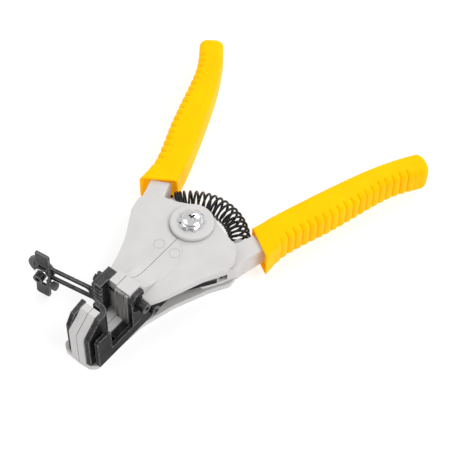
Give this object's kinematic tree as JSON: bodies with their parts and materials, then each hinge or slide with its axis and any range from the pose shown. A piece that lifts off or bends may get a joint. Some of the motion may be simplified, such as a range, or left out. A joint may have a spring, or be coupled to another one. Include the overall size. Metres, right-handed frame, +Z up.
{
  "type": "wire stripper",
  "caption": "Double-jaw wire stripper: paired levers with ribbed grips pull the front jaws back, then the two body halves turn apart to strip the wire.",
  "frame": {"origin": "main pivot axis where it meets the flat underside of the body", "axes": "+Y from the nose to the handles, +Z up along the main pivot out of the cap, +X towards the clamp side"},
  "size_m": [0.13, 0.1738, 0.0326],
  "materials": {
    "painted_casting": "satin light warm grey paint on die castings",
    "yellow_grip": "soft matte yellow vinyl, ribbed on the outer side",
    "black_steel": "black oxide sheet and bar steel",
    "pad_steel": "dull grey layered steel with fine upright streaks",
    "black_screws": "semi-gloss black oxide screws",
    "plated_steel": "bright nickel-plated steel",
    "spring_steel": "blackened spring wire"
  },
  "bodies": {
    "left_side": {"left_body": "painted_casting", "pivot_sleeve": "plated_steel", "pivot_cap": "painted_casting", "lock_washer": "plated_steel", "pivot_screw": "plated_steel", "rear_blade": "black_steel", "stop_arm": "black_steel", "stop_arm_screw": "black_screws", "return_spring": "spring_steel"},
    "right_side": {"right_body": "painted_casting", "rear_clamp_pad": "pad_steel", "clamp_side_plate": "black_steel", "side_plate_screws": "black_screws"},
    "left_handle": {"left_lever": "painted_casting", "left_grip": "yellow_grip", "left_link_pin": "plated_steel"},
    "right_handle": {"right_lever": "painted_casting", "right_grip": "yellow_grip", "right_link_pin": "plated_steel"},
    "clamp_slide": {"clamp_draw_bar": "black_steel", "front_clamp_jaw": "black_steel", "clamp_jaw_rivets": "plated_steel"},
    "blade_slide": {"blade_draw_bar": "black_steel", "front_blade": "black_steel", "blade_rivets": "plated_steel"},
    "wire_stop": {"stop_bracket": "black_steel", "stop_back_disc": "black_steel", "stop_peg": "black_steel", "stop_collar": "plated_steel"},
    "stop_screw": {"stop_clamp_screw": "black_screws"}
  },
  "joints": [
    {"name": "body_pivot", "type": "hinge", "parent": "left_side", "child": "right_side", "pos_m": [0, 0, 0.0105], "axis": [0, 0, 1], "range_deg": [0, 12], "stiffness_Nm_per_rad": 1, "springref_deg": -5.73, "deforming": ["return_spring"]},
    {"name": "left_handle_pivot", "type": "hinge", "parent": "left_side", "child": "left_handle", "pos_m": [0, 0, 0.0105], "axis": [0, 0, -1], "range_deg": [0, 21], "stiffness_Nm_per_rad": 0.6, "springref_deg": -11.46},
    {"name": "right_handle_pivot", "type": "hinge", "parent": "right_side", "child": "right_handle", "pos_m": [0, 0, 0.0105], "axis": [0, 0, 1], "range_deg": [0, 21], "stiffness_Nm_per_rad": 0.6, "springref_deg": -11.46},
    {"name": "clamp_jaw_slide", "type": "slide", "parent": "right_side", "child": "clamp_slide", "axis": [0, 1, 0], "range_m": [0, 0.0087]},
    {"name": "blade_slide_in", "type": "slide", "parent": "left_side", "child": "blade_slide", "axis": [0, 1, 0], "range_m": [0, 0.0087]},
    {"name": "stop_slide", "type": "slide", "parent": "left_side", "child": "wire_stop", "axis": [0.9848, 0.1736, 0], "range_m": [0, 0.014]},
    {"name": "stop_screw_turn", "type": "hinge", "parent": "wire_stop", "child": "stop_screw", "pos_m": [-0.0349, -0.05717, 0.0178], "axis": [0.1736, -0.9848, 0], "range_deg": [0, 270]}
  ],
  "couplings": [
    {"joint": "clamp_jaw_slide", "follows": "right_handle_pivot", "m_per_rad": 0.0232},
    {"joint": "blade_slide_in", "follows": "left_handle_pivot", "m_per_rad": 0.0228}
  ]
}
